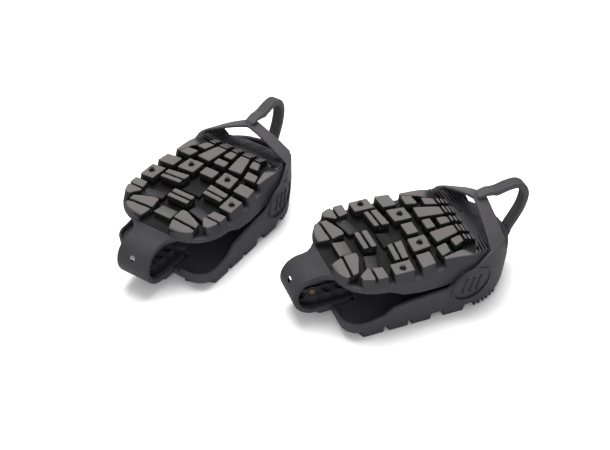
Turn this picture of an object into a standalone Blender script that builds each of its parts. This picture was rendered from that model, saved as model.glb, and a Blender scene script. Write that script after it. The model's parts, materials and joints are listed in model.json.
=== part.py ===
"""A pair of folding rubber traction soles for hard boots, both stored folded.

Each sole is a heel half lying tread down, a toe half folded over it tread up, and a
flexible strap that joins them.  A sole is drawn in its own frame, in millimetres: +X
runs from the fold to the heel, Y is across, and Z=0 is the floor under the heel tread.
"""
import math

import bmesh
import bpy
from mathutils import Euler, Matrix, Vector

MM = 0.001
GAP = 0.3            # seam left between two solids that touch
SINK = 1.0           # how far a lug reaches into the plate that it is moulded with
TRIM = 60.0          # half width of a block before it is trimmed to its outline
RIB_REACH = 55.0     # half width of a cross rib before it is trimmed
BELOW, ABOVE = -20.0, 90.0      # heights that a plan cutter spans

# Where the two soles stand: name, x, y, turn about Z in degrees.
SOLES = (("right", 27.333, -58.488, 0.0), ("left", -71.507, 32.962, 34.67))

# Heel half
HEEL_FRONT, HEEL_ROUND, HEEL_REAR = -41.0, 45.0, 88.6
DRAFT, DRAFT_TOP = 2.2, 24.0         # the walls lean in by this much from this height to the floor
HEEL_HALF_WIDTH = 41.0
HEEL_CORNER = 13.0
WALL = 3.0
HEEL_PLATE_LOW, SEAT = 5.0, 10.0
HEEL_RIM = ((-42, 13), (-24, 13.8), (-14, 15.8), (-7, 21), (5, 23.2), (18, 24), (30, 24.6), (42, 31),
            (51, 37), (58, 42), (61, 43), (73, 43), (77, 33), (92, 32))
SEAT_RISE_X, SEAT_RISE = 72.0, 0.25      # the seat climbs at this slope behind x
MOUTH_HALF_WIDTH, MOUTH_DEPTH = 19.0, 7.0     # opening in the front rim, over the strap
HEEL_UNDERSIDE = ((92, 12), (80, 7.5), (70, HEEL_PLATE_LOW), (-42, HEEL_PLATE_LOW))

# Toe half, upside down: its tread faces up
TOE_FRONT, TOE_CORNER_X, TOE_CORNER_Y = -40.0, 24.0, 26.0
TOE_HALF_WIDTH, TOE_WAIST = 40.0, 37.4
TOE_ROUND, TOE_END = 42.0, 84.0
TOE_WALL = 3.5
GROUND, TREAD_TOP = 39.6, 47.0
TOE_SEAT = 36.2
TOE_TOP = ((-41, GROUND), (50, GROUND), (57, 39), (60, 38.2), (70, 36.2), (79, 32.8), (83, 29.5), (85, 25))
TOE_SKIRT = ((60, 25), (30, 25), (12, 27.6), (-1, 29.6), (-7, 33), (-12, 35.2), (-23, TOE_SEAT),
             (-41, TOE_SEAT))
TOE_CAVITY = ((-41, 20), (-41, TOE_SEAT), (54, TOE_SEAT), (70, 33), (77, 30), (80.5, 26), (80.5, 20))

# Strap
BEND_X, BEND_Z = -50.0, 22.0
BAND = 3.6
BEND_OUTER = 15.0
BEND_INNER = BEND_OUTER - BAND
LINKS = 5
LINK_ANGLE = math.pi / LINKS
BAND_HALF_WIDTH = 12.6
STRAP_ROOT_HALF_WIDTH = 18.0
STRAP_END_HALF_WIDTH = 12.4
ROOT_FLARE = ((4.0, 0.4, 0.6), (7.0, 2.0, 1.5))      # x past the bend, then what half width and height gain
STRAP_HOLE_ANGLE, STRAP_HOLE_R = math.radians(150.5), 1.8
STRAP_END_X, STRAP_END_LOW = -23.0, 5.0
STRAP_END_TOP = BEND_Z - BEND_INNER
POCKET_HALF_WIDTH, POCKET_FLOOR, POCKET_SKIN, POCKET_END = 8.8, 8.2, 0.8, math.radians(142)

# Length adjuster
SOCKET_PITCH, SOCKET_COUNT, SOCKET_TIP = 9.2, 4, -55.6
SOCKETS = tuple(SOCKET_TIP + SOCKET_PITCH * i for i in range(SOCKET_COUNT))
SCREW_X = SOCKETS[1]
SOCKET_R, SOCKET_FLOOR, SOCKET_WALL_R = 3.1, 11.3, 4.7
TONGUE_LOW, TONGUE_TOP, TONGUE_NECK = 8.5, 13.2, 3.9
TONGUE_TIP, TONGUE_ROOT, TONGUE_END, TONGUE_PAD = -60.0, -23.2, -8.0, 9.0
SCREW_HEAD_R, SCREW_R, SCREW_HOLE_R, SCREW_LOW = 2.8, 1.6, 2.0, 3.0
NUT_R = 3.4

# Heel lip and pull loop
LIP_ROOT_Z, LIP_RISE, LIP_THICK, LIP_POWER = 43.3, 16.4, 2.6, 1.2
LIP_FRONT = (61.0, 65.0, 36.4)      # x at its roots, x at its top, half width
LIP_BACK = (75.0, 74.0, 30.0)
LOOP_PATH = ((82, 60.8), (89, 62.4), (95.6, 62.6), (100.6, 59.2), (102.8, 52.4), (101, 43), (97.2, 35),
             (93.9, 29.2))
LOOP_ROOT = ((66.4, 60.1), (73.6, 60.1), (80.9, 58.8), (80.1, 62.6), (74, 63.2), (67.4, 61.6))
LOOP_FOOT = ((HEEL_REAR + GAP, 13), (HEEL_REAR + 1.6, 13), (94.4, 24), (94.9, 26.9), (HEEL_REAR + GAP, 27.4))
LOOP_HALF_WIDTH, LOOP_THICK = 4.0, 4.0

# Tread of the toe half, near side: corners in x, y.  The far side mirrors it.
TOE_LUGS = {
    "front": ((-45, -13.6), (-30, -9.2), (-21.6, -10.2), (-22, -14.4), (-27.4, -27.4), (-45, -28)),
    "corner": ((-27, -31), (-21, -26.5), (-12, -28.5), (-11.2, -45), (-27, -45)),
    "grooved": ((0, -10.2), (9.8, -9.4), (7.4, -25.2), (-1, -25)),
    "stud_edge": ((-6, -28.4), (7, -28), (5.4, -45), (-7.2, -45)),
    "stud_inner": ((14.2, -9.8), (26, -9.4), (25, -20.6), (13.4, -22)),
    "edge": ((13, -26), (22, -25.4), (20.6, -45), (11.4, -45)),
    "block": ((28.4, -23.4), (35.4, -21.6), (34.6, -29.8), (28.4, -32)),
    "block_rear": ((40.4, -19.2), (48, -17), (47.6, -22.6), (40.6, -25.8)),
    "bar": ((30.6, -8.4), (48, -6.4), (48, -13.6), (31.2, -18.4)),
    "wedge": ((29, -33.4), (40, -30.4), (51.5, -25.4), (54, -27), (52, -45), (29, -45)),
}
TOE_CENTRE_LUGS = {
    "centre_grooved": ((-15, 8), (-6.6, 8)),
    "centre_block": ((16.4, 5.2), (23.8, 5.2)),
    "centre_mid": ((30.8, 4.4), (36.2, 4.2)),
    "centre_rear": ((41, 3.2), (48, 2.8)),
}
# Fine slices that carry the rows on towards the toe end: half width, then y inner and outer
SLICE_CENTRE, SLICE_ROWS = 2.8, ((-6.4, -13.6), (-17, -22.2))
SLICE_STARTS = (49.2, 52.2, 55.2)
SLICE_LENGTH = 1.8
TOE_PADS = (((-20.6, -25.8), (-13.5, -27), (-8.8, -12.8), (-17, -11.6)),)
TOE_CENTRE_PADS = (((-31, 6.8), (-22.8, 6.2)), ((-0.5, 7), (7, 5.6)))
PAD_TOP, PAD_FRONT, PAD_FALL = 44.5, -30.0, 0.06
STUDS = ((0.0, 33.9), (20.0, 15.4))
STUD_R, STUD_TIP, STUD_FLANGE_R, STUD_LOW, STUD_HOLE_R = 1.25, 49.7, 2.2, 44.8, 2.5

# Cross ribs on the toe end: x of the first, pitch, count, width, height over the ground
RIB_START, RIB_PITCH, RIB_COUNT, RIB_WIDTH, RIB_HEIGHT = 56.8, 2.5, 10, 1.3, 2.0
RIB_INNER = (30.0, 26.0, 20.0, 13.0)      # the first ribs stop this far short of the middle
RIB_BOW = 0.005                           # each rib bows back towards the middle
RIB_STATIONS = (34, 27, 20, 13, 7)
BANK = ((46, -37), (60, -22), (80, -12), (92, -40), (60, -60), (40, -60))
BANK_START, BANK_SLOPE = 22.0, 0.3        # the toe end's sides rise outwards

# Tread of the heel half, near side
HEEL_LUGS = (
    ((-37, -20), (-26, -18), (-25, -27), (-34, -30)),
    ((-29.5, -34), (-23, -31), (-13, -31), (-13, -44), (-24, -44)),
    ((-10, -28), (4, -28), (4, -44), (-10, -44)),
    ((6.4, -28), (20, -28), (20, -44), (6.4, -44)),
    ((28.8, -27), (43.6, -27), (43.6, -44), (28.8, -44)),
    ((-18, -10), (-7, -10), (-8, -25), (-19, -25)),
    ((-2, -9), (9, -9), (8, -24), (-3, -24)),
    ((14, -9), (26, -9), (25, -23), (13, -23)),
    ((31, -8), (48, -7), (47, -22), (30, -22)),
)
HEEL_CENTRE_LUGS = (((-19, 6.5), (-8, 6.5)), ((-3, 5.5), (9, 5.5)), ((14, 5.5), (26, 5.5)),
                    ((31, 4.5), (48, 4)))
HEEL_TEETH_START, HEEL_TEETH_PITCH, HEEL_TEETH_COUNT = 51.0, 3.4, 6
HEEL_TOOTH, HEEL_TOOTH_HEIGHT = 1.8, 4.2

BADGE_X, BADGE_Z, BADGE_LONG, BADGE_SHORT, BADGE_TILT = 46.8, 23.5, 15.5, 11.6, math.radians(24)
BADGE_PROUD = 0.6
ARC_STEPS = 14


# ---------------------------------------------------------------- scene
def clear_scene():
    for thing in list(bpy.data.objects):
        bpy.data.objects.remove(thing, do_unlink=True)
    for group in list(bpy.data.collections):
        bpy.data.collections.remove(group)


def new_collection(name):
    group = bpy.data.collections.new(name)
    bpy.context.scene.collection.children.link(group)
    return group


def new_material(name, colour, roughness, metallic=0.0):
    mat = bpy.data.materials.new(name)
    mat.use_nodes = True
    shader = mat.node_tree.nodes["Principled BSDF"]
    shader.inputs["Base Color"].default_value = (*colour, 1.0)
    shader.inputs["Roughness"].default_value = roughness
    shader.inputs["Metallic"].default_value = metallic
    mat.diffuse_color = (*colour, 1.0)
    return mat


# ---------------------------------------------------------------- outlines
def arc(cx, cy, rx, ry, start, end, steps=ARC_STEPS):
    """Points on an ellipse's arc, angles in degrees, both ends included."""
    turns = [math.radians(start + (end - start) * i / steps) for i in range(steps + 1)]
    return [(cx + rx * math.cos(a), cy + ry * math.sin(a)) for a in turns]


def mirrored(near):
    """Closes a half outline listed from front to rear on the near side (y < 0)."""
    far = [(x, -y) for x, y in reversed(near) if abs(y) > 1e-6]
    return list(near) + far


def heel_outline(inset=0.0):
    half, corner = HEEL_HALF_WIDTH - inset, HEEL_CORNER - inset
    front = arc(HEEL_FRONT + inset + corner, -half + corner, corner, corner, 180, 270, 6)
    rear = arc(HEEL_ROUND, 0, HEEL_REAR - HEEL_ROUND - inset, half, -90, 0, ARC_STEPS)
    return mirrored(front + rear)


def toe_outline(inset=0.0):
    half, waist = TOE_HALF_WIDTH - inset, TOE_WAIST - inset
    cx, cy = TOE_FRONT + TOE_CORNER_X, -(TOE_HALF_WIDTH - TOE_CORNER_Y)
    front = arc(cx, cy, TOE_CORNER_X - inset, TOE_CORNER_Y - inset, 180, 270, 8)
    side = [(12.0, -half), (22.0, -(half + waist) / 2), (30.0, -waist)]
    rear = arc(TOE_ROUND, 0, TOE_END - TOE_ROUND - inset, waist, -90, 0, ARC_STEPS)
    return mirrored(front + side + rear)


def mirror_y(points):
    return [(x, -y) for x, y in reversed(points)]


def centre_quad(ends):
    (x0, half0), (x1, half1) = ends
    return [(x0, -half0), (x1, -half1), (x1, half1), (x0, half0)]


def height_on(profile, x):
    """Height of a profile, a run of (x, z) points with rising x, at x; level beyond its ends."""
    x = max(x, profile[0][0])
    for (x0, z0), (x1, z1) in zip(profile, profile[1:]):
        if x0 <= x <= x1:
            return z0 + (z1 - z0) * (x - x0) / (x1 - x0)
    return profile[-1][1]


# ---------------------------------------------------------------- solids
def add_prism(bm, outline, low, high):
    """Extrudes a plan outline between two heights; a height may be a function of x and y."""
    def level(value, x, y):
        return value(x, y) if callable(value) else value
    base = [bm.verts.new((x * MM, y * MM, level(low, x, y) * MM)) for x, y in outline]
    face = bm.faces.new(base)
    made = bmesh.ops.extrude_face_region(bm, geom=[face])["geom"]
    for vert in (g for g in made if isinstance(g, bmesh.types.BMVert)):
        vert.co.z = level(high, vert.co.x / MM, vert.co.y / MM) * MM


def add_side_prism(bm, profile, y_low, y_high):
    """Extrudes an XZ profile across the sole."""
    base = [bm.verts.new((x * MM, y_low * MM, z * MM)) for x, z in profile]
    face = bm.faces.new(base)
    made = bmesh.ops.extrude_face_region(bm, geom=[face])["geom"]
    for vert in (g for g in made if isinstance(g, bmesh.types.BMVert)):
        vert.co.y = y_high * MM


def add_loft(bm, sections):
    """Skins closed sections of equal point count, and caps both ends."""
    rings = [[bm.verts.new(Vector(p) * MM) for p in section] for section in sections]
    count = len(rings[0])
    for ring, after in zip(rings, rings[1:]):
        for i in range(count):
            j = (i + 1) % count
            bm.faces.new((ring[i], ring[j], after[j], after[i]))
    bm.faces.new(rings[0])
    bm.faces.new(reversed(rings[-1]))


def add_rod(bm, x, y, low, high, radius, sides=16):
    """A vertical cylinder."""
    centre = Matrix.Translation(Vector((x, y, (low + high) / 2)) * MM)
    bmesh.ops.create_cone(bm, cap_ends=True, segments=sides, radius1=radius * MM, radius2=radius * MM,
                          depth=(high - low) * MM, matrix=centre)


def finished_mesh(name, bm):
    """Turns the faces outwards and splits bent ones, which a Boolean can't cut cleanly."""
    bmesh.ops.recalc_face_normals(bm, faces=bm.faces)
    bmesh.ops.triangulate(bm, faces=bm.faces)
    mesh = bpy.data.meshes.new(name)
    bm.to_mesh(mesh)
    bm.free()
    return mesh


class Sole:
    """One folded sole: makes its nodes and cutters under one empty per moving body."""

    def __init__(self, name, x, y, turn, parts, cutters, materials):
        self.name, self.parts, self.cutters, self.materials = name, parts, cutters, materials
        self.origin = bpy.data.objects.new(name + "_sole", None)
        parts.objects.link(self.origin)
        self.origin.location = Vector((x, y, 0)) * MM
        self.origin.rotation_euler = Euler((0, 0, math.radians(turn)))
        self.bodies = {}

    def body(self, name, x=0.0, z=0.0):
        """An empty on the joint's axis, which carries that body's nodes."""
        pivot = bpy.data.objects.new(f"{self.name}_{name}_pivot", None)
        self.parts.objects.link(pivot)
        pivot.parent = self.origin
        pivot.location = Vector((x, 0, z)) * MM
        self.bodies[name] = pivot

    def make(self, name, bm, body, material, smooth=False):
        mesh = finished_mesh(name, bm)
        thing = bpy.data.objects.new(f"{self.name}_{name}", mesh)
        pivot = self.bodies[body]
        thing.parent = pivot
        thing.location = -pivot.location
        mesh.materials.append(self.materials[material])
        self.parts.objects.link(thing)
        if smooth:
            mesh.shade_smooth()
            mesh.set_sharp_from_angle(angle=math.radians(35))
        return thing

    def cutter(self, name, bm):
        thing = bpy.data.objects.new(f"cut_{self.name}_{name}", finished_mesh(name, bm))
        thing.parent = self.origin
        thing.hide_render = True
        thing.display_type = "WIRE"
        self.cutters.objects.link(thing)
        return thing


def cut(thing, cutter, operation="DIFFERENCE"):
    step = thing.modifiers.new(cutter.name, "BOOLEAN")
    step.operation = operation
    step.solver = "EXACT"
    step.object = cutter


def moulded(sole, name, profile, levels, treads):
    """A moulding with a given side profile, its treads joined on, trimmed to outlines at given heights."""
    bm = bmesh.new()
    add_side_prism(bm, profile, -TRIM, TRIM)
    body = sole.make(name, bm, name.split("_")[0], "rubber", smooth=True)
    for i, tread in enumerate(treads):
        cut(body, sole.cutter(f"{name}_tread_{i + 1}", tread), "UNION")
    plan = bmesh.new()
    add_loft(plan, [[(x, y, z) for x, y in outline] for z, outline in levels])
    cut(body, sole.cutter(name + "_plan", plan), "INTERSECT")
    return body


# ---------------------------------------------------------------- heel half
def heel_tread():
    """Lugs under the heel, then cross ribs that follow its underside up at the rear."""
    bm = bmesh.new()
    for lug in HEEL_LUGS:
        for outline in (lug, mirror_y(lug)):
            add_prism(bm, outline, 0, HEEL_PLATE_LOW + SINK)
    for ends in HEEL_CENTRE_LUGS:
        add_prism(bm, centre_quad(ends), 0, HEEL_PLATE_LOW + SINK)
    underside = sorted(HEEL_UNDERSIDE)
    for i in range(HEEL_TEETH_COUNT):
        x = HEEL_TEETH_START + HEEL_TEETH_PITCH * i
        add_prism(bm, centre_quad(((x, RIB_REACH), (x + HEEL_TOOTH, RIB_REACH))),
                  lambda v, y: height_on(underside, v) - HEEL_TOOTH_HEIGHT,
                  lambda v, y: height_on(underside, v) + SINK)
    return bm


def seat_height(x, y):
    return SEAT + max(0.0, x - SEAT_RISE_X) * SEAT_RISE


def heel_sole(sole):
    profile = list(HEEL_RIM) + list(HEEL_UNDERSIDE)
    levels = ((0, heel_outline(DRAFT)), (DRAFT_TOP, heel_outline()), (ABOVE, heel_outline()))
    shell = moulded(sole, "heel_sole", profile, levels, (heel_tread(),))
    inside = bmesh.new()
    add_prism(inside, heel_outline(WALL), seat_height, ABOVE)
    cut(shell, sole.cutter("heel_inside", inside))
    mouth = bmesh.new()
    half, end = MOUTH_HALF_WIDTH, HEEL_FRONT + MOUTH_DEPTH
    add_prism(mouth, [(BEND_X, -half), (end, -half), (end, half), (BEND_X, half)], SEAT, ABOVE)
    cut(shell, sole.cutter("heel_mouth", mouth))
    notch = bmesh.new()
    half, end = STRAP_END_HALF_WIDTH + 2 * GAP, STRAP_END_X + 2 * GAP
    add_prism(notch, [(BEND_X, -half), (end, -half), (end, half), (BEND_X, half)], BELOW, SEAT + 5)
    cut(shell, sole.cutter("heel_notch", notch))


def lip_section(t):
    """The lip's four corners at t, from -1 at the near root to 1 at the far root."""
    rise = 1 - abs(t) ** LIP_POWER
    corners = []
    for inner in (0.0, LIP_THICK):
        edges = []
        for root_x, top_x, half in (LIP_FRONT, LIP_BACK):
            y = (half - inner) * t
            z = LIP_ROOT_Z + (LIP_RISE - inner) * rise
            edges.append((root_x + (top_x - root_x) * rise, y, z))
        corners += edges if not inner else reversed(edges)
    return corners


def heel_lip(sole):
    bm = bmesh.new()
    steps = 20
    add_loft(bm, [lip_section(-1 + 2 * i / steps) for i in range(steps + 1)])
    sole.make("heel_lip", bm, "heel", "rubber", smooth=True)


def heel_badges(sole):
    """A plain raised oval on each side wall, which follows the wall's curve."""
    c, s = math.cos(BADGE_TILT), math.sin(BADGE_TILT)
    ring = [(BADGE_X + c * u - s * v, BADGE_Z + s * u + c * v)
            for u, v in arc(0, 0, BADGE_LONG, BADGE_SHORT, 0, 345, 23)]
    core = bmesh.new()
    add_prism(core, heel_outline(-GAP), BELOW, ABOVE)
    core = sole.cutter("badge_core", core)
    for side, low, high in (("near", -TRIM, 0), ("far", 0, TRIM)):
        bm = bmesh.new()
        add_prism(bm, heel_outline(-GAP - BADGE_PROUD), 0, TRIM)
        badge = sole.make(f"heel_badge_{side}", bm, "heel", "rubber", smooth=True)
        cut(badge, core)
        oval = bmesh.new()
        add_side_prism(oval, ring, low, high)
        cut(badge, sole.cutter(f"badge_oval_{side}", oval), "INTERSECT")


# ---------------------------------------------------------------- length adjuster
def tongue_outline():
    """Scalloped along the sockets, then a wide pad on the seat."""
    xs = [TONGUE_TIP + (TONGUE_ROOT - TONGUE_TIP) * i / 36 for i in range(37)]
    near = []
    for x in xs:
        reach = [math.sqrt(max(0.0, SOCKET_WALL_R ** 2 - (x - s) ** 2)) for s in SOCKETS]
        near.append((x, -max(max(reach), TONGUE_NECK if x > SOCKETS[0] else 0.0)))
    near[0] = (TONGUE_TIP, -1.9)
    near += [(TONGUE_ROOT + 0.2, -TONGUE_PAD + 2), (TONGUE_ROOT + 2, -TONGUE_PAD),
             (TONGUE_END - 2, -TONGUE_PAD), (TONGUE_END, -TONGUE_PAD + 2)]
    return mirrored(near)


def adjuster_tongue(sole):
    def underside(x):
        if x >= TONGUE_ROOT:
            return SEAT + GAP
        reach = BEND_OUTER - POCKET_SKIN - GAP
        bend = BEND_Z - math.sqrt(reach ** 2 - (x - BEND_X) ** 2) if x < BEND_X else 0.0
        return max(TONGUE_LOW, bend)
    xs = [TONGUE_TIP - 0.1 + 1.4 * i for i in range(8)]
    profile = [(x, underside(x)) for x in xs] + [(TONGUE_ROOT - 0.01, TONGUE_LOW), (TONGUE_ROOT, SEAT + GAP),
               (TONGUE_END + 1, SEAT + GAP), (TONGUE_END + 1, TONGUE_TOP), (TONGUE_TIP - 1, TONGUE_TOP)]
    bm = bmesh.new()
    add_prism(bm, tongue_outline(), 0, 40)
    tongue = sole.make("adjuster_tongue", bm, "heel", "rubber")
    side = bmesh.new()
    add_side_prism(side, profile, -TRIM, TRIM)
    cut(tongue, sole.cutter("tongue_side", side), "INTERSECT")
    holes = bmesh.new()
    for x in SOCKETS:
        add_rod(holes, x, 0, SOCKET_FLOOR, TONGUE_TOP + 3, SOCKET_R, 20)
    cut(tongue, sole.cutter("socket_cups", holes))
    holes = bmesh.new()
    for x in SOCKETS:
        add_rod(holes, x, 0, 2, TONGUE_TOP + 3, SCREW_HOLE_R, 12)
    cut(tongue, sole.cutter("socket_holes", holes))


def adjuster_screw(sole):
    """Pan head with a cross recess, and its shank."""
    low = SOCKET_FLOOR + GAP
    top = low + 1.5
    profile = ((0, top + 0.35), (SCREW_HEAD_R * 0.6, top + 0.2), (SCREW_HEAD_R, top - 0.3),
               (SCREW_HEAD_R, low), (SCREW_R, low), (SCREW_R, SCREW_LOW), (0, SCREW_LOW))
    screw = sole.make("adjuster_screw", turned(profile, SCREW_X, 0, 18), "heel", "brass", smooth=True)
    for name, x, y in (("along", 2.0, 0.4), ("across", 0.4, 2.0)):
        slot = bmesh.new()
        add_prism(slot, [(SCREW_X - x, -y), (SCREW_X + x, -y), (SCREW_X + x, y), (SCREW_X - x, y)],
                  top - 0.6, top + 2)
        cut(screw, sole.cutter("screw_cross_" + name, slot))


def adjuster_nut(sole):
    bm = bmesh.new()
    add_rod(bm, SCREW_X, 0, SCREW_LOW + 0.1, STRAP_END_LOW - GAP, NUT_R, 6)
    nut = sole.make("adjuster_nut", bm, "heel", "brass")
    hole = bmesh.new()
    add_rod(hole, SCREW_X, 0, 0, 8, SCREW_R + GAP, 16)
    cut(nut, sole.cutter("nut_hole", hole))


# ---------------------------------------------------------------- strap
def strap_end(sole):
    """The strap's lower leg: a pocket for the tongue, with a slot for the screw."""
    half, neck = BAND_HALF_WIDTH, STRAP_END_HALF_WIDTH
    x0 = BEND_X + GAP / 2
    corner = 3.0
    near = [(x0, -half), (x0 + corner, -half), (HEEL_FRONT, -neck), (STRAP_END_X - corner, -neck),
            (STRAP_END_X, -neck + corner)]
    bm = bmesh.new()
    add_prism(bm, mirrored(near), lambda x, y: STRAP_END_LOW if x > x0 else BEND_Z - BEND_OUTER,
              STRAP_END_TOP)
    leg = sole.make("strap_end", bm, "strap_end", "rubber")
    pocket = bmesh.new()
    p = POCKET_HALF_WIDTH
    front, rear = BEND_X - BEND_OUTER, STRAP_END_X + 2
    add_prism(pocket, [(front, -p), (rear, -p), (rear, p), (front, p)], POCKET_FLOOR, BEND_Z)
    cut(leg, sole.cutter("pocket", pocket))
    slot = bmesh.new()
    w = SCREW_R + 2 * GAP
    front, rear = SCREW_X - w, SCREW_X + SOCKET_PITCH + w
    add_prism(slot, [(front, -w), (rear, -w), (rear, w), (front, w)], 0, BEND_Z)
    cut(leg, sole.cutter("screw_slot", slot))


def link_section(radius_in, radius_out, start, end, steps):
    ring = [(radius_out, start + (end - start) * i / steps) for i in range(steps + 1)]
    ring += [(radius_in, end + (start - end) * i / steps) for i in range(steps + 1)]
    return [(BEND_X + r * math.cos(a), BEND_Z + r * math.sin(a)) for r, a in ring]


def strap_links(sole):
    """Wedges of the bend, counted from the lower leg round to the upper leg."""
    seam = GAP / 2 / BEND_OUTER
    recess = bmesh.new()
    ring = link_section(BEND_INNER - BAND, BEND_OUTER - POCKET_SKIN, -math.pi / 2 + 0.2, -POCKET_END, 8)
    add_side_prism(recess, ring, -POCKET_HALF_WIDTH, POCKET_HALF_WIDTH)
    recess = sole.cutter("link_recess", recess)
    for i in range(LINKS):
        start = -math.pi / 2 - i * LINK_ANGLE
        bm = bmesh.new()
        add_side_prism(bm, link_section(BEND_INNER, BEND_OUTER, start - seam, start - LINK_ANGLE + seam, 4),
                       -BAND_HALF_WIDTH, BAND_HALF_WIDTH)
        link = sole.make(f"strap_link_{i + 1}", bm, f"link_{i + 1}", "rubber", smooth=True)
        if start > -POCKET_END:
            cut(link, recess)
        if abs(math.tau + start - LINK_ANGLE / 2 - STRAP_HOLE_ANGLE) < LINK_ANGLE / 2:
            hole = bmesh.new()
            aim = Vector((math.cos(STRAP_HOLE_ANGLE), 0, math.sin(STRAP_HOLE_ANGLE)))
            middle = Vector((BEND_X, 0, BEND_Z)) + aim * (BEND_OUTER - BAND / 2)
            spot = Matrix.Translation(middle * MM) @ aim.to_track_quat("Z", "Y").to_matrix().to_4x4()
            bmesh.ops.create_cone(hole, cap_ends=True, segments=16, radius1=STRAP_HOLE_R * MM,
                                  radius2=STRAP_HOLE_R * MM, depth=3 * BAND * MM, matrix=spot)
            cut(link, sole.cutter("strap_hole", hole))


def strap_root(sole):
    """The strap's upper leg, which flares into the front edge of the toe half."""
    top = BEND_Z + BEND_OUTER
    half = BAND_HALF_WIDTH
    stations = [(BEND_X + GAP / 2, half, top)]
    stations += [(BEND_X + along, half + wider, top + higher) for along, wider, higher in ROOT_FLARE]
    stations += [(TOE_FRONT - GAP, STRAP_ROOT_HALF_WIDTH, GROUND - 0.4)]
    sections = [[(x, -half, z - BAND), (x, half, z - BAND), (x, half, z), (x, -half, z)]
                for x, half, z in stations]
    bm = bmesh.new()
    add_loft(bm, sections)
    root = sole.make("strap_root", bm, "toe", "rubber", smooth=True)
    edge = bmesh.new()
    add_prism(edge, toe_outline(-GAP), 0, 80)
    cut(root, sole.cutter("toe_edge", edge))


# ---------------------------------------------------------------- toe half
def ground(x, y):
    """Height of the toe half's tread ground at x, less the depth that treads sink into it."""
    return height_on(TOE_TOP, x) - SINK


def lug_top(x, y):
    """The lugs' top plane, which falls slightly beyond the middle of the tread."""
    return TREAD_TOP - max(0.0, x - 38) * 0.06


def pad_top(x, y):
    return PAD_TOP - (x - PAD_FRONT) * PAD_FALL


def wedge_top(x, y):
    """A ridge along the outer edge that falls towards the ribs and inwards."""
    top = TREAD_TOP + 0.5 - max(0.0, x - 43) * 0.3 - max(0.0, 36 - abs(y)) * 0.35
    return max(top, ground(x, y) + 2 * SINK)


def slice_top(x, y):
    return TREAD_TOP - (x - SLICE_STARTS[0]) * 0.42


def bank_top(x, y):
    return height_on(TOE_TOP, x) - 0.4 + max(0.0, abs(y) - BANK_START) * BANK_SLOPE


def rib_top(x, y):
    return bank_top(x, y) + RIB_HEIGHT


def rib_line(x, y):
    """A point at y on the bowed line that crosses the middle at x."""
    return (x - RIB_BOW * y * y, y)


def add_pair(bm, outline, low, high):
    """A prism on the near side and its mirror image on the far side."""
    add_prism(bm, outline, low, high)
    add_prism(bm, mirror_y(outline), low, high)


def toe_tread():
    bm = bmesh.new()
    for name, lug in TOE_LUGS.items():
        add_pair(bm, lug, ground, wedge_top if name == "wedge" else lug_top)
    for ends in TOE_CENTRE_LUGS.values():
        add_prism(bm, centre_quad(ends), ground, lug_top)
    for pad in TOE_PADS:
        add_pair(bm, pad, ground, pad_top)
    for ends in TOE_CENTRE_PADS:
        add_prism(bm, centre_quad(ends), ground, pad_top)
    for start in SLICE_STARTS:
        end = start + SLICE_LENGTH
        add_prism(bm, centre_quad(((start, SLICE_CENTRE), (end, SLICE_CENTRE))), ground, slice_top)
        for inner, outer in SLICE_ROWS:
            add_pair(bm, [(start, outer), (end, outer), (end, inner), (start, inner)], ground, slice_top)
    return bm


def toe_banks():
    """The raised sides of the toe end."""
    bm = bmesh.new()
    add_pair(bm, BANK, ground, bank_top)
    return bm


def toe_ribs():
    """Bowed ribs across the toe end; the first ones leave its middle plain."""
    bm = bmesh.new()
    for i in range(RIB_COUNT):
        x0 = RIB_START + RIB_PITCH * i
        x1 = x0 + RIB_WIDTH
        inner = RIB_INNER[i] if i < len(RIB_INNER) else 0.0
        ys = [-RIB_REACH] + [-y for y in RIB_STATIONS if y > inner] + [-inner]
        if inner:
            near = [rib_line(x0, y) for y in ys]
            rear = [rib_line(x1, y) for y in reversed(ys)]
            add_pair(bm, near + rear, ground, rib_top)
        else:
            ys += [-y for y in reversed(ys[:-1])]
            front = [rib_line(x0, y) for y in ys]
            rear = [rib_line(x1, y) for y in reversed(ys)]
            add_prism(bm, front + rear, ground, rib_top)
    return bm


def toe_sole(sole):
    profile = list(TOE_TOP) + list(TOE_SKIRT)
    levels = ((BELOW, toe_outline()), (ABOVE, toe_outline()))
    shell = moulded(sole, "toe_sole", profile, levels, (toe_tread(), toe_banks(), toe_ribs()))
    inside = bmesh.new()
    add_prism(inside, toe_outline(TOE_WALL), 0, 60)
    cavity = sole.cutter("toe_inside", inside)
    side = bmesh.new()
    add_side_prism(side, TOE_CAVITY, -TRIM, TRIM)
    cut(cavity, sole.cutter("toe_inside_side", side), "INTERSECT")
    cut(shell, cavity)
    holes = bmesh.new()
    for x, y in STUDS:
        for side in (-1, 1):
            add_rod(holes, x, side * y, STUD_LOW - GAP, 60, STUD_HOLE_R, 14)
    cut(shell, sole.cutter("stud_holes", holes))


def turned(profile, x, y, steps):
    """Spins a profile of (radius, z) about a vertical axis at x, y."""
    bm = bmesh.new()
    verts = [bm.verts.new((r * MM, 0, z * MM)) for r, z in profile]
    for a, b in zip(verts, verts[1:]):
        bm.edges.new((a, b))
    bmesh.ops.spin(bm, geom=bm.verts[:] + bm.edges[:], cent=(0, 0, 0), axis=(0, 0, 1),
                   angle=math.tau, steps=steps)
    bmesh.ops.remove_doubles(bm, verts=bm.verts, dist=1e-5)
    bmesh.ops.translate(bm, verts=bm.verts, vec=(x * MM, y * MM, 0))
    return bm


def toe_studs(sole):
    profile = ((0, STUD_TIP), (STUD_R * 0.7, STUD_TIP), (STUD_R, STUD_TIP - 0.4), (STUD_R, 46.6),
               (STUD_FLANGE_R, 46.0), (STUD_FLANGE_R, STUD_LOW), (0, STUD_LOW))
    places = [(x, side * y) for x, y in STUDS for side in (-1, 1)]
    for i, (x, y) in enumerate(places):
        sole.make(f"toe_stud_{i + 1}", turned(profile, x, y, 12), "toe", "steel", smooth=True)


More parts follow.
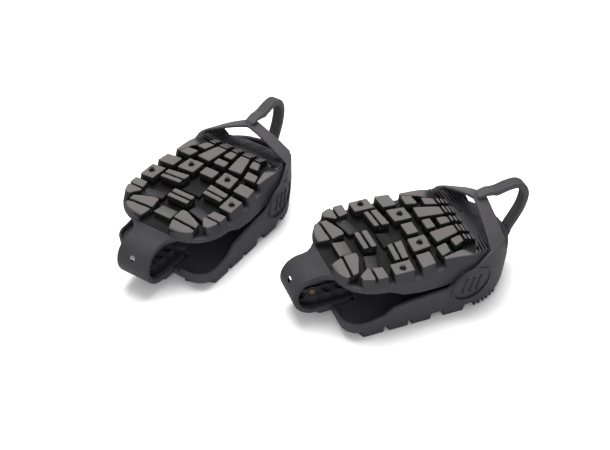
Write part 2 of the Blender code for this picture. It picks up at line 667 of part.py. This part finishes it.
# ---------------------------------------------------------------- pull loop
def loop_root(sole):
    """A tab along the top of the lip that the loop grows out of."""
    half = LOOP_HALF_WIDTH
    bm = bmesh.new()
    add_side_prism(bm, LOOP_ROOT, -half, half)
    sole.make("loop_root", bm, "heel", "rubber")


def loop_foot(sole):
    """A rib down the rear wall that the loop's lower end grows out of."""
    half = LOOP_HALF_WIDTH
    bm = bmesh.new()
    add_side_prism(bm, LOOP_FOOT, -half, half)
    sole.make("loop_foot", bm, "heel", "rubber")


def pull_loop(sole):
    """A flat band bent into a D behind the heel."""
    points = [Vector((x, 0, z)) for x, z in LOOP_PATH]
    path = []
    padded = [points[0] * 2 - points[1]] + points + [points[-1] * 2 - points[-2]]
    for a, b, c, d in zip(padded, padded[1:], padded[2:], padded[3:]):
        for i in range(3):
            t = i / 3
            path.append(0.5 * (2 * b + (c - a) * t + (2 * a - 5 * b + 4 * c - d) * t ** 2
                               + (3 * b - a - 3 * c + d) * t ** 3))
    path.append(points[-1])
    sections = []
    for i, point in enumerate(path):
        along = (path[min(i + 1, len(path) - 1)] - path[max(i - 1, 0)]).normalized()
        out = Vector((along.z, 0, -along.x)) * (LOOP_THICK / 2)
        side = Vector((0, LOOP_HALF_WIDTH, 0))
        sections.append([point - out - side, point - out + side, point + out + side, point + out - side])
    bm = bmesh.new()
    add_loft(bm, sections)
    sole.make("pull_loop", bm, "loop", "rubber", smooth=True)


def build_sole(spec, parts, cutters, materials):
    sole = Sole(*spec, parts, cutters, materials)
    sole.body("heel")
    sole.body("strap_end")
    for i in range(LINKS):
        angle = -math.pi / 2 - i * LINK_ANGLE
        x, z = BEND_X + BEND_OUTER * math.cos(angle), BEND_Z + BEND_OUTER * math.sin(angle)
        sole.body(f"link_{i + 1}", x, z)
    sole.body("toe", BEND_X, BEND_Z + BEND_OUTER)
    sole.body("loop", LOOP_PATH[0][0], LOOP_PATH[0][1])
    for make in (heel_sole, heel_lip, heel_badges, adjuster_tongue, adjuster_screw, adjuster_nut, strap_end,
                 strap_links, strap_root, toe_sole, toe_studs, loop_root, loop_foot, pull_loop):
        make(sole)


def main():
    clear_scene()
    parts = new_collection("traction_soles")
    cutters = new_collection("cutters")
    materials = {
        "rubber": new_material("rubber", (0.055, 0.055, 0.058), 0.62),
        "brass": new_material("brass", (0.42, 0.30, 0.10), 0.35, 1.0),
        "steel": new_material("steel", (0.25, 0.25, 0.25), 0.4, 1.0),
    }
    for spec in SOLES:
        build_sole(spec, parts, cutters, materials)


main()
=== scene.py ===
"""Looks for a pair of folding rubber traction soles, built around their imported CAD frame.

Each sole is drawn in its own frame: +X runs from the fold to the heel, +Y is across and
Z=0 is the floor.  Lengths are in millimetres until a mesh is made.  Both soles are made
from the same meshes, which one matrix for each sole puts in place.
"""
import json
import math

import bmesh
import bpy
import numpy as np
from mathutils import Matrix, Vector


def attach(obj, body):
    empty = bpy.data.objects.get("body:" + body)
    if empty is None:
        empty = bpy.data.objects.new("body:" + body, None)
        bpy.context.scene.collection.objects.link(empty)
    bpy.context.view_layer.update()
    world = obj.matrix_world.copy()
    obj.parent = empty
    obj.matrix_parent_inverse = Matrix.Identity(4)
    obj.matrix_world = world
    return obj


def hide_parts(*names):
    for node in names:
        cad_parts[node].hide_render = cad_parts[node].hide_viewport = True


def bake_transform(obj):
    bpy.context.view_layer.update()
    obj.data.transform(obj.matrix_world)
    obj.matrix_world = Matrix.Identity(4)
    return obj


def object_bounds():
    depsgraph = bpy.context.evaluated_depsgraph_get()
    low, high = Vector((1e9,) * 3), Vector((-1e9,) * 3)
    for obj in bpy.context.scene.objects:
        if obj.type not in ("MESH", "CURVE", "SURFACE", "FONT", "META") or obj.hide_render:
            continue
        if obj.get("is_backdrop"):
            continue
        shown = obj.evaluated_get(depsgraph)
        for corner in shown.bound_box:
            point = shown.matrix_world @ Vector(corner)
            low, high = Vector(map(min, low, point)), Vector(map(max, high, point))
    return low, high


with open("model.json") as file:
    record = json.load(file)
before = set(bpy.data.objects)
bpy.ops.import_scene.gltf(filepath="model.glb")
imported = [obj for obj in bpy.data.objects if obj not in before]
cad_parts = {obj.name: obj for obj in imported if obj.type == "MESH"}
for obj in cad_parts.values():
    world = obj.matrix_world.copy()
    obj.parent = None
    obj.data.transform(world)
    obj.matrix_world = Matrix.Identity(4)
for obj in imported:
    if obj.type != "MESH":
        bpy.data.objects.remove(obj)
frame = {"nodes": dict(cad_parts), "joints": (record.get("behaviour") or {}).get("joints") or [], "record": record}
CAD_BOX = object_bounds()

MM = 0.001
HELPERS = []
SIDES = ("right", "left")
SEAT_MOUNT = (20.0, 0.0, 10.0)      # the heel seat's mount in a sole's own frame

# Camera, from the right sole's origin
CAMERA_OFFSET = (-271.0, -564.1, 577.5)
CAMERA_AIM = (0.2772, 0.7150, -0.6417)
CAMERA_LENS = 75.36

# Strap: the bend's centre and radii, and how it is shared out between its six hinges
BEND_X, BEND_Z, BEND_OUTER, BAND, BAND_HALF = -50.0, 22.0, 15.0, 3.6, 12.6
LINKS = 5
LINK_ANGLE = 180.0 / LINKS
BAND_ROUND = 0.7
ROOT_STATIONS = ((-46.0, 13.0, 37.6), (-43.2, 14.6, 38.3), (-41.0, 17.0, 39.0), (-38.0, 19.0, 39.4))
POCKET_HALF, POCKET_SKIN, POCKET_START, POCKET_END = 8.8, 0.8, -60.0, -142.0
POCKET_STRETCHES = 2                 # the pocket reaches into this many stretches of the bend
HOLE_ANGLE, HOLE_STRETCH = 150.5, 3
HOLE_R, HOLE_INNER_R = 1.6, 7.0      # the hole widens towards the bend's inside
BAND_STEPS = 12

# Outlines
HEEL = {"front": -41.0, "corner": 13.0, "centre": 45.0, "rear": 88.6, "half": 41.0}
TOE = {"front": -40.0, "corner": (24.0, 26.0), "half": 40.0, "waist": 37.4, "centre": 42.0, "end": 84.0}
NARROWING = ((12.0, 0.0), (22.0, 0.5), (30.0, 1.0))      # x, and how much of the way to the waist
GROUND = 39.6
SKY, FAR = 60.0, 60.0                # height and half width that a cutter reaches, beyond everything

# Toe half's lugs: the slope of the front ones, and how far the sides lean in between GROUND and SKY
FRONT_SLOPE = ((-45, 42.2), (-37, 44.6), (-25, 47.2), (-15, 50), (-15, SKY), (-45, SKY))
TOE_DRAFT = 5.2

# Grooves in the lugs, near side: two ends in x, y.  The far side mirrors them.
GROOVES = (((-30.5, -7), (-31.8, -31)), ((-18.4, -24), (-19.4, -46)), ((4.2, -7), (2.6, -28)))
CENTRE_GROOVE = ((-11.0, 10), (-11.0, -10))
GROOVE_WIDTH, GROOVE_FLOOR = 2.1, 43.0
SWELL = 0.45         # the lugs' sides are brought out by this much after the fillets have shrunk them

# Pull loop
LOOP_PATH = ((79.5, 60.6), (82, 60.8), (89, 62.4), (95.6, 62.6), (100.6, 59.2), (102.8, 52.4), (101, 43),
             (97.2, 35), (93.9, 29.2), (92.6, 26.4))
LOOP_HALF, LOOP_THICK, LOOP_RIDGE = 4.0, 4.4, 0.6

# Side mark: an oval line and slanted ridges, raised from the wall
BADGE_X, BADGE_Z, BADGE_LONG, BADGE_SHORT, BADGE_TILT = 46.8, 23.5, 15.5, 11.6, math.radians(24)
BADGE_LINE, BADGE_PROUD, BADGE_DEPTH = 1.5, 0.75, 1.6
RIDGE_SHIFTS, RIDGE_RISE, RIDGE_OUT, RIDGE_IN = (-5.0, 0.0, 5.0), 5.5, 1.9, 0.5

# Rubber: colours along its tone, from the darkest at 0 to the palest at 1. The darkest end is painted shade
# between the lugs; the palest is the lug tops, worn and with painted light from above
RUBBER_TONES = ((0.0, (0.003, 0.0025, 0.003)), (0.42, (0.034, 0.034, 0.038)), (1.0, (0.098, 0.090, 0.088)))
# Even tone of each part; toe_end is the pale of the ribbed toe end's upward faces, from wear and painted light
# from above
TONES = {"wall": 0.42, "strap": 0.38, "badge": 0.36, "loop": 0.56, "toe_end": 0.55}
RUBBER_ROUGHNESS, RUBBER_SPECULAR = 0.68, 0.13
MOTTLE, MOTTLE_SCALE, GRAIN_SCALE, METAL_SCALE = 0.14, 90.0, 1300.0, 900.0
CROWN_HEIGHTS = (43.2, 44.6)         # lug tops turn pale between these heights, from wear and painted light from above

# Lamps: name, place in m, size, power.  Each one faces the origin.
LAMPS = (("overhead", (0.1, 0.35, 1.1), 0.9, 22.0), ("front_fill", (-0.5, -0.9, 0.5), 0.6, 4.0))


# ---------------------------------------------------------------- frame
def sole_frame(side):
    """The matrix from a sole's own frame to the row frame."""
    slide = next(j for j in frame["joints"] if j["name"] == f"{side}_length")
    seat = next(m for m in frame["record"]["mounts"] if m["name"] == f"{side}_heel_seat")
    turn = math.atan2(-slide["axis"][1], -slide["axis"][0])
    spin = Matrix.Rotation(turn, 4, "Z")
    return Matrix.Translation(Vector(seat["pos_m"]) - spin @ (Vector(SEAT_MOUNT) * MM)) @ spin


PLACE = {side: sole_frame(side) for side in SIDES}


# ---------------------------------------------------------------- mesh tools
def added(name, data):
    """A new object in the scene."""
    thing = bpy.data.objects.new(name, data)
    bpy.context.scene.collection.objects.link(thing)
    return thing


def mesh_object(name, bm):
    bmesh.ops.recalc_face_normals(bm, faces=bm.faces)
    bmesh.ops.triangulate(bm, faces=bm.faces)
    mesh = bpy.data.meshes.new(name)
    bm.to_mesh(mesh)
    bm.free()
    return added(name, mesh)


def cad_copy(bm, node):
    """Adds the right sole's CAD node to a bmesh, in the sole's own frame."""
    mesh = frame["nodes"]["right_" + node].data.copy()
    mesh.transform(PLACE["right"].inverted())
    bm.from_mesh(mesh)
    bpy.data.meshes.remove(mesh)
    bmesh.ops.remove_doubles(bm, verts=bm.verts, dist=2e-6)


def prism(bm, outline, low, high):
    """Extrudes a plan outline between two heights; a height may be a function of x and y."""
    def level(value, x, y):
        return value(x, y) if callable(value) else value
    base = [bm.verts.new(Vector((x, y, level(low, x, y))) * MM) for x, y in outline]
    face = bm.faces.new(base)
    made = bmesh.ops.extrude_face_region(bm, geom=[face])["geom"]
    for vert in (g for g in made if isinstance(g, bmesh.types.BMVert)):
        vert.co.z = level(high, vert.co.x / MM, vert.co.y / MM) * MM


def evaluated(thing, name):
    """The object's mesh with its modifiers applied; the object is removed."""
    graph = bpy.context.evaluated_depsgraph_get()
    mesh = bpy.data.meshes.new_from_object(thing.evaluated_get(graph))
    mesh.name = name
    bpy.data.objects.remove(thing)
    return mesh


def boolean(thing, other, operation):
    step = thing.modifiers.new(operation, "BOOLEAN")
    step.operation = operation
    step.solver = "MANIFOLD"
    step.object = other


def arc(cx, cy, rx, ry, start, end, steps):
    """Points on an ellipse's arc, angles in degrees, both ends included."""
    turns = [math.radians(start + (end - start) * i / steps) for i in range(steps + 1)]
    return [(cx + rx * math.cos(a), cy + ry * math.sin(a)) for a in turns]


def mirrored(near):
    """Closes a half outline listed from front to rear on the near side."""
    return list(near) + [(x, -y) for x, y in reversed(near) if abs(y) > 1e-6]


def heel_outline(grow=0.0):
    half, corner = HEEL["half"] + grow, HEEL["corner"] + grow
    front = arc(HEEL["front"] - grow + corner, -half + corner, corner, corner, 180, 270, 6)
    rear = arc(HEEL["centre"], 0, HEEL["rear"] - HEEL["centre"] + grow, half, -90, 0, 24)
    return mirrored(front + rear)


def toe_outline(grow=0.0):
    half, waist = TOE["half"] + grow, TOE["waist"] + grow
    rx, ry = TOE["corner"]
    front = arc(TOE["front"] + rx, -(TOE["half"] - ry), rx + grow, ry + grow, 180, 270, 12)
    side = [(x, -(half + (waist - half) * share)) for x, share in NARROWING]
    rear = arc(TOE["centre"], 0, TOE["end"] - TOE["centre"] + grow, waist, -90, 0, 24)
    return mirrored(front + side + rear)


def loft(bm, sections):
    """Skins closed sections of equal point count, and caps both ends."""
    rings = [[bm.verts.new(Vector(p) * MM) for p in section] for section in sections]
    count = len(rings[0])
    for ring, after in zip(rings, rings[1:]):
        for i in range(count):
            j = (i + 1) % count
            bm.faces.new((ring[i], ring[j], after[j], after[i]))
    bm.faces.new(rings[0])
    bm.faces.new(reversed(rings[-1]))


def side_prism(bm, profile, y_low, y_high):
    """Extrudes an XZ profile across the sole."""
    loft(bm, [[(x, y, z) for x, z in profile] for y in (y_low, y_high)])


def strip(bm, start, end, width, low, high):
    """A wall between two plan points."""
    a, b = Vector(start), Vector(end)
    out = (b - a).normalized().orthogonal() * (width / 2)
    prism(bm, [a - out, b - out, b + out, a + out], low, high)


def helper(name, bm):
    """A cutter, kept out of the picture until it has been used."""
    thing = mesh_object(name, bm)
    thing.hide_render = True
    HELPERS.append(thing)
    return thing


def clear_helpers():
    while HELPERS:
        bpy.data.objects.remove(HELPERS.pop())


def points_of(mesh):
    """The places and normals of a mesh's vertices, a row for each."""
    count = len(mesh.vertices)
    place_of, normal = np.empty(count * 3), np.empty(count * 3)
    mesh.vertices.foreach_get("co", place_of)
    mesh.vertex_normals.foreach_get("vector", normal)
    return place_of.reshape(-1, 3), normal.reshape(-1, 3)


def paint(mesh, rule):
    """Stores the rubber's tone for each point, from its place in mm and its normal."""
    place_of, normal = points_of(mesh)
    tone = rule(place_of / MM, normal)
    mesh.attributes.new("tone", "FLOAT", "POINT").data.foreach_set("value", tone.astype(np.float32))


def even(tone):
    """A paint rule with one tone for every point."""
    return lambda place_of, normal: np.full(len(place_of), tone)


def step_up(value, low, high):
    """A ramp from 0 at low to 1 at high."""
    return np.clip((value - low) / (high - low), 0, 1)


def remeshed(thing, name, voxel, smooth, keep=1.0):
    """Fuses a closed shape into one skin with small fillets, then thins it to a share of its faces."""
    step = thing.modifiers.new("voxels", "REMESH")
    step.mode = "VOXEL"
    step.voxel_size = voxel * MM
    step = thing.modifiers.new("fillets", "SMOOTH")
    step.factor = 0.5
    step.iterations = smooth
    if keep < 1:
        thing.modifiers.new("thinned", "DECIMATE").ratio = keep
    mesh = evaluated(thing, name)
    mesh.shade_smooth()
    return mesh


def coat(mesh, material):
    mesh.materials.clear()
    mesh.materials.append(material)


def place(name, mesh, body, material, nodes):
    """Puts a rubber mesh on both soles, where it stands for the given CAD nodes."""
    coat(mesh, material)
    for side in SIDES:
        own = mesh.copy()
        own.transform(PLACE[side])
        thing = added(f"{side}_{name}", own)
        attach(thing, f"{side}_{body}")
        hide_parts(*[f"{side}_{n}" for n in nodes])


# ---------------------------------------------------------------- materials
def shader_of(name):
    """A new material, its node tree and its shader."""
    mat = bpy.data.materials.new(name)
    mat.use_nodes = True
    return mat, mat.node_tree, mat.node_tree.nodes["Principled BSDF"]


def add_node(tree, kind, **values):
    """A new node; each value goes to the input or else the property of that name."""
    made = tree.nodes.new(kind)
    for key, value in values.items():
        if key in made.inputs:
            made.inputs[key].default_value = value
        else:
            setattr(made, key, value)
    return made


def grain(tree, coords, scale):
    noise = add_node(tree, "ShaderNodeTexNoise", Scale=scale, Detail=4.0)
    tree.links.new(coords.outputs["Object"], noise.inputs["Vector"])
    return noise.outputs["Fac"]


def ramp(tree, value, stops):
    made = tree.nodes.new("ShaderNodeValToRGB")
    for i, (place_at, colour) in enumerate(stops):
        stop = made.color_ramp.elements[i] if i < 2 else made.color_ramp.elements.new(place_at)
        stop.position = place_at
        stop.color = (*colour, 1.0)
    tree.links.new(value, made.inputs["Fac"])
    return made.outputs["Color"]


def rubber(name):
    """Moulded rubber whose colour follows the tone painted on it, with mottling and a fine grain."""
    mat, tree, shader = shader_of(name)
    coords = tree.nodes.new("ShaderNodeTexCoord")
    tone = add_node(tree, "ShaderNodeAttribute", attribute_name="tone")
    mottle = add_node(tree, "ShaderNodeMath", operation="MULTIPLY_ADD")
    tree.links.new(grain(tree, coords, MOTTLE_SCALE), mottle.inputs[0])
    mottle.inputs[1].default_value = MOTTLE
    mottle.inputs[2].default_value = -MOTTLE / 2
    total = add_node(tree, "ShaderNodeMath", operation="ADD")
    tree.links.new(tone.outputs["Fac"], total.inputs[0])
    tree.links.new(mottle.outputs[0], total.inputs[1])
    tree.links.new(ramp(tree, total.outputs[0], RUBBER_TONES), shader.inputs["Base Color"])
    shader.inputs["Roughness"].default_value = RUBBER_ROUGHNESS
    shader.inputs["Specular IOR Level"].default_value = RUBBER_SPECULAR
    bump = add_node(tree, "ShaderNodeBump", Strength=0.5, Distance=0.00025)
    tree.links.new(grain(tree, coords, GRAIN_SCALE), bump.inputs["Height"])
    tree.links.new(bump.outputs["Normal"], shader.inputs["Normal"])
    return mat


def metal(name, colour, roughness):
    """Dull metal with darker patches."""
    mat, tree, shader = shader_of(name)
    coords = tree.nodes.new("ShaderNodeTexCoord")
    patches = grain(tree, coords, METAL_SCALE)
    dark = tuple(c * 0.6 for c in colour)
    tree.links.new(ramp(tree, patches, ((0.35, dark), (0.65, colour))), shader.inputs["Base Color"])
    shader.inputs["Roughness"].default_value = roughness
    shader.inputs["Metallic"].default_value = 1.0
    return mat


# ---------------------------------------------------------------- stage
def build_stage():
    camera = added("camera", bpy.data.cameras.new("camera"))
    camera.data.lens = CAMERA_LENS
    camera.data.sensor_width = 36.0
    camera.data.clip_start = 0.01
    origin = PLACE["right"].translation
    camera.location = origin + Vector(CAMERA_OFFSET) * MM
    camera.rotation_euler = Vector(CAMERA_AIM).to_track_quat("-Z", "Y").to_euler()
    bpy.context.scene.camera = camera

    bpy.ops.mesh.primitive_plane_add(size=6)
    floor = bpy.context.object
    floor.name = "floor"
    mat, _, shader = shader_of("floor")
    shader.inputs["Base Color"].default_value = (0.93, 0.93, 0.93, 1)
    shader.inputs["Roughness"].default_value = 0.9
    floor.data.materials.append(mat)
    floor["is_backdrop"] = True

    world = bpy.data.worlds.new("studio")
    world.use_nodes = True
    world.node_tree.nodes["Background"].inputs["Color"].default_value = (1, 1, 1, 1)
    world.node_tree.nodes["Background"].inputs["Strength"].default_value = 0.6
    bpy.context.scene.world = world
    for name, spot, size, power in LAMPS:
        light = bpy.data.lights.new(name, "AREA")
        light.size = size
        light.energy = power
        lamp = added(name, light)
        lamp.location = spot
        lamp.rotation_euler = (-Vector(spot)).to_track_quat("-Z", "Y").to_euler()
    bpy.context.scene.view_settings.view_transform = "Standard"


# ---------------------------------------------------------------- toe half
def toe_half_width(x):
    """Half width of the toe half's outline at each x."""
    def bow(share):
        return np.sqrt(np.clip(1 - share ** 2, 0, 1))
    rear = TOE["waist"] * bow((x - TOE["centre"]) / (TOE["end"] - TOE["centre"]))
    rx, ry = TOE["corner"]
    front = TOE["half"] - ry + ry * bow((x - TOE["front"] - rx) / rx)
    side = TOE["half"] + (TOE["waist"] - TOE["half"]) * step_up(x, NARROWING[0][0], NARROWING[-1][0])
    return np.where(x > TOE["centre"], rear, np.where(x < TOE["front"] + rx, front, side))


def toe_tone(place_of, normal):
    """Dark painted shade between the lugs, pale on their tops from wear and painted light from above, and middling
    on the outer walls.
    """
    x, y, z = place_of.T
    up = normal[:, 2]
    # crown: lug tops pale where the faces point up, partly wear and partly painted light from above
    crown = step_up(up, 0.35, 0.8) * step_up(z, *CROWN_HEIGHTS) * (1 - step_up(x, 57, 60))
    # toe_end: the ribbed toe end pale where its faces point up, from wear and painted light from above
    toe_end = step_up(x, 55, 58) * step_up(up, 0.5, 0.9) * TONES["toe_end"]
    inward = toe_half_width(x) - np.abs(y)
    outside = 1 - step_up(inward, 2.4, 4.5)
    outside = np.maximum(outside, step_up(GROUND - 0.9 - z, 0, 1.0))
    # floor: painted shade between the lugs, darkest at the bottom and lighter with height
    floor = 0.02 + 0.14 * step_up(z, 41, 47)
    return np.maximum.reduce([crown, toe_end, TONES["wall"] * outside, floor])


def toe_grooves():
    """The cutter of the narrow grooves across some lugs."""
    bm = bmesh.new()
    for start, end in GROOVES:
        for flip in (1, -1):
            strip(bm, (start[0], flip * start[1]), (end[0], flip * end[1]), GROOVE_WIDTH, GROOVE_FLOOR, SKY)
    strip(bm, *CENTRE_GROOVE, GROOVE_WIDTH, GROOVE_FLOOR, SKY)
    return bm


def swell_lugs(mesh):
    """Moves the lugs' side faces outwards."""
    place_of, normal = points_of(mesh)
    x, y, z = (place_of / MM).T
    share = step_up(z, GROUND + 0.4, GROUND + 2) * (1 - step_up(x, 46, 49))
    share *= step_up(toe_half_width(x) - np.abs(y), 1.5, 3.0)
    place_of[:, :2] += normal[:, :2] * (share * SWELL * MM)[:, None]
    mesh.vertices.foreach_set("co", place_of.ravel())
    mesh.update()


def toe_moulding(material):
    """The toe half with grooves, sloping front lugs, draft and fillets."""
    bm = bmesh.new()
    cad_copy(bm, "toe_sole")
    shell = mesh_object("toe_raw", bm)
    boolean(shell, helper("toe_grooves", toe_grooves()), "DIFFERENCE")
    slope = bmesh.new()
    side_prism(slope, FRONT_SLOPE, -FAR, FAR)
    boolean(shell, helper("front_slope", slope), "DIFFERENCE")
    draft = bmesh.new()
    levels = ((0, 0), (GROUND, 0), (SKY, -TOE_DRAFT))
    loft(draft, [[(x, y, z) for x, y in toe_outline(grow)] for z, grow in levels])
    boolean(shell, helper("toe_draft", draft), "INTERSECT")
    mesh = remeshed(shell, "toe_moulding", 0.5, smooth=6, keep=0.6)
    clear_helpers()
    swell_lugs(mesh)
    paint(mesh, toe_tone)
    place("toe_moulding", mesh, "toe", material, ["toe_sole"])


# ---------------------------------------------------------------- heel half
def heel_tone(place_of, normal):
    """Even on the walls, with painted shade inside the cup towards the rear, and paler towards the top."""
    x, y, z = place_of.T
    along = np.maximum(x - HEEL["centre"], 0) / (HEEL["rear"] - HEEL["centre"])
    half = HEEL["half"] * np.sqrt(np.clip(1 - along ** 2, 0, 1))
    # inside: painted shade on the cup's inner faces, fading out towards the front; the last term makes the rubber
    # paler from 36 to 50 mm up
    inside = step_up(half - np.abs(y), 3.2, 4.2) * (1 - step_up(z, 40, 44)) * step_up(z, 8, 9.5)
    return TONES["wall"] - 0.14 * inside * step_up(x, -20, 10) + 0.16 * step_up(z, 36, 50)


def heel_moulding(material):
    """The heel half, its lip and the loop's two ends in one skin."""
    nodes = ("heel_sole", "heel_lip", "loop_root", "loop_foot")
    bm = bmesh.new()
    for node in nodes:
        cad_copy(bm, node)
    shell = mesh_object("heel_raw", bm)
    mesh = remeshed(shell, "heel_moulding", 0.6, smooth=6, keep=0.6)
    paint(mesh, heel_tone)
    place("heel_moulding", mesh, "heel", material, nodes)


def oval(inset):
    """The side mark's oval in x and z."""
    c, s = math.cos(BADGE_TILT), math.sin(BADGE_TILT)
    ring = arc(0, 0, BADGE_LONG - inset, BADGE_SHORT - inset, 0, 352.5, 47)
    return [(BADGE_X + c * u - s * v, BADGE_Z + s * u + c * v) for u, v in ring]


def badges(material):
    """An oval line with plain slanted ridges inside it, raised on each side wall."""
    for side, low, high in (("near", -FAR, 0), ("far", 0, FAR)):
        bm = bmesh.new()
        prism(bm, heel_outline(BADGE_PROUD), -5, SKY)
        badge = mesh_object("badge_raw", bm)
        ring = bmesh.new()
        side_prism(ring, oval(0), low, high)
        ring = helper("ring", ring)
        hole = bmesh.new()
        side_prism(hole, oval(BADGE_LINE), low - 5, high + 5)
        boolean(ring, helper("ring_hole", hole), "DIFFERENCE")
        ridges = bmesh.new()
        foot, head = BADGE_Z - RIDGE_RISE, BADGE_Z + RIDGE_RISE
        for x in (BADGE_X + shift for shift in RIDGE_SHIFTS):
            side_prism(ridges, ((x - RIDGE_OUT, foot), (x - RIDGE_IN, foot), (x + RIDGE_OUT, head),
                                (x + RIDGE_IN, head)), low, high)
        boolean(ring, helper("ridges", ridges), "UNION")
        boolean(badge, ring, "INTERSECT")
        core = bmesh.new()
        prism(core, heel_outline(-BADGE_DEPTH), -10, SKY + 10)
        boolean(badge, helper("badge_core", core), "DIFFERENCE")
        mesh = evaluated(badge, f"badge_{side}")
        clear_helpers()
        paint(mesh, even(TONES["badge"]))
        place(f"badge_{side}", mesh, "heel", material, [f"heel_badge_{side}"])


def softened(name, node, body, material, voxel):
    """A CAD node's shape with rounded edges."""
    bm = bmesh.new()
    cad_copy(bm, node)
    mesh = remeshed(mesh_object(name + "_raw", bm), name, voxel, smooth=3)
    paint(mesh, even(TONES["wall"]))
    place(name, mesh, body, material, [node])


# ---------------------------------------------------------------- strap
def band_ring(middle, out, half):
    """The band's cross-section at a point on its outer face: thickness runs inwards along out."""
    r, bevel = BAND_ROUND, 0.3 * BAND_ROUND
    corner = [(half - r, 0), (half - bevel, -bevel), (half, -r)]
    far = corner + [(y, -BAND - d) for y, d in reversed(corner)]
    ring = far + [(-y, d) for y, d in reversed(far)]
    return [(middle[0] + out[0] * d, y, middle[1] + out[1] * d) for y, d in ring]


def bend_at(angle):
    """The x and z of the bend's outer face at an angle, and the direction out of it."""
    a = math.radians(angle)
    out = (math.cos(a), math.sin(a))
    return (BEND_X + BEND_OUTER * out[0], BEND_Z + BEND_OUTER * out[1]), out


def band_piece(index):
    """The stretch of the bend round one hinge, from the middle of one link to the middle of the next."""
    hinge = -90.0 - LINK_ANGLE * index
    first = hinge + LINK_ANGLE / 2 if index else hinge
    last = hinge - LINK_ANGLE / 2 if index < LINKS else hinge
    turns = [first + (last - first) * i / BAND_STEPS for i in range(BAND_STEPS + 1)]
    sections = [band_ring(*bend_at(turn), BAND_HALF) for turn in turns]
    if index == LINKS:
        sections += [band_ring((x, z), (0, 1), half) for x, half, z in ROOT_STATIONS]
    bm = bmesh.new()
    loft(bm, sections)
    piece = mesh_object("band_raw", bm)
    if index < POCKET_STRETCHES:
        recess = bmesh.new()
        inner, outer = BEND_OUTER - 2 * BAND, BEND_OUTER - POCKET_SKIN
        ring = arc(BEND_X, BEND_Z, outer, outer, POCKET_START, POCKET_END, 14)
        ring += arc(BEND_X, BEND_Z, inner, inner, POCKET_END, POCKET_START, 14)
        side_prism(recess, ring, -POCKET_HALF, POCKET_HALF)
        boolean(piece, helper("recess", recess), "DIFFERENCE")
    if index == HOLE_STRETCH:
        hole = bmesh.new()
        _, out = bend_at(HOLE_ANGLE)
        aim = Vector((out[0], 0, out[1]))
        spot = Vector((BEND_X, 0, BEND_Z)) + aim * (BEND_OUTER - BAND / 2)
        turn = aim.to_track_quat("Z", "Y").to_matrix().to_4x4()
        bmesh.ops.create_cone(hole, cap_ends=True, segments=28, radius1=HOLE_INNER_R * MM,
                              radius2=HOLE_R * MM, depth=(BAND + 0.6) * MM,
                              matrix=Matrix.Translation(spot * MM) @ turn)
        boolean(piece, helper("hole", hole), "DIFFERENCE")
    mesh = evaluated(piece, f"band_{index + 1}")
    clear_helpers()
    mesh.shade_smooth()
    mesh.set_sharp_from_angle(angle=math.radians(40))
    return mesh


def strap(material):
    """The bend as one continuous band, in six stretches that each lie round one hinge."""
    for index in range(LINKS + 1):
        mesh = band_piece(index)
        paint(mesh, even(TONES["strap"]))
        coat(mesh, material)
        nodes = [f"strap_link_{index}"] if index else []
        nodes += ["strap_root"] if index == LINKS else []
        for side in SIDES:
            thing = added(f"{side}_band_{index + 1}", mesh.copy())
            thing.matrix_world = PLACE[side]
            bpy.context.view_layer.update()
            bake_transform(thing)
            if nodes:
                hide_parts(*[f"{side}_{n}" for n in nodes])


# ---------------------------------------------------------------- pull loop
def smooth_path(points, steps=6):
    """A Catmull-Rom curve through the points."""
    points = [Vector(p) for p in points]
    padded = [points[0] * 2 - points[1]] + points + [points[-1] * 2 - points[-2]]
    path = []
    for a, b, c, d in zip(padded, padded[1:], padded[2:], padded[3:]):
        for i in range(steps):
            t = i / steps
            path.append(0.5 * (2 * b + (c - a) * t + (2 * a - 5 * b + 4 * c - d) * t ** 2
                               + (3 * b - a - 3 * c + d) * t ** 3))
    return path + [points[-1]]


def loop_ring(point, out):
    """Three rounded ridges on each face of the band."""
    across = [-1 + i / 9 for i in range(19)]
    floor = LOOP_THICK / 2 - LOOP_RIDGE
    face = [(LOOP_HALF * t, floor + LOOP_RIDGE * abs(math.cos(1.5 * math.pi * t)) ** 0.6) for t in across]
    ring = face + [(y, -d) for y, d in reversed(face)]
    return [(point[0] + out[0] * d, y, point[1] + out[1] * d) for y, d in ring]


def pull_loop(material):
    """The ridged band that runs from the tab on the lip round to the foot on the rear wall."""
    path = smooth_path(LOOP_PATH)
    sections = []
    for i, point in enumerate(path):
        along = (path[min(i + 1, len(path) - 1)] - path[max(i - 1, 0)]).normalized()
        sections.append(loop_ring(point, (along.y, -along.x)))
    bm = bmesh.new()
    loft(bm, sections)
    mesh = evaluated(mesh_object("loop_raw", bm), "pull_loop")
    mesh.shade_smooth()
    mesh.set_sharp_from_angle(angle=math.radians(50))
    paint(mesh, even(TONES["loop"]))
    place("pull_loop", mesh, "loop", material, ["pull_loop"])


def finish_cad_nodes(materials):
    """Gives the metal nodes, which are shown as they are, their materials."""
    for name, node in frame["nodes"].items():
        if node.hide_render:
            continue
        if "screw" in name or "nut" in name:
            finish = materials["brass"]
        elif "stud" in name:
            finish = materials["steel"]
        else:
            raise SystemExit(f"{name} has no finished piece")
        node.data.materials.clear()
        node.data.materials.append(finish)


def write_sizes():
    boxes = {"cad": CAD_BOX, "visual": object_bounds()}
    boxes = {name: [[float(c) for c in point] for point in box] for name, box in boxes.items()}


build_stage()
MATERIALS = {
    "rubber": rubber("rubber"),
    "brass": metal("brass", (0.26, 0.19, 0.11), 0.5),
    "steel": metal("steel", (0.07, 0.07, 0.072), 0.4),
}
toe_moulding(MATERIALS["rubber"])
heel_moulding(MATERIALS["rubber"])
badges(MATERIALS["rubber"])
softened("tongue", "adjuster_tongue", "heel", MATERIALS["rubber"], voxel=0.35)
softened("strap_pocket", "strap_end", "strap_end", MATERIALS["rubber"], voxel=0.4)
strap(MATERIALS["rubber"])
pull_loop(MATERIALS["rubber"])
finish_cad_nodes(MATERIALS)
write_sizes()
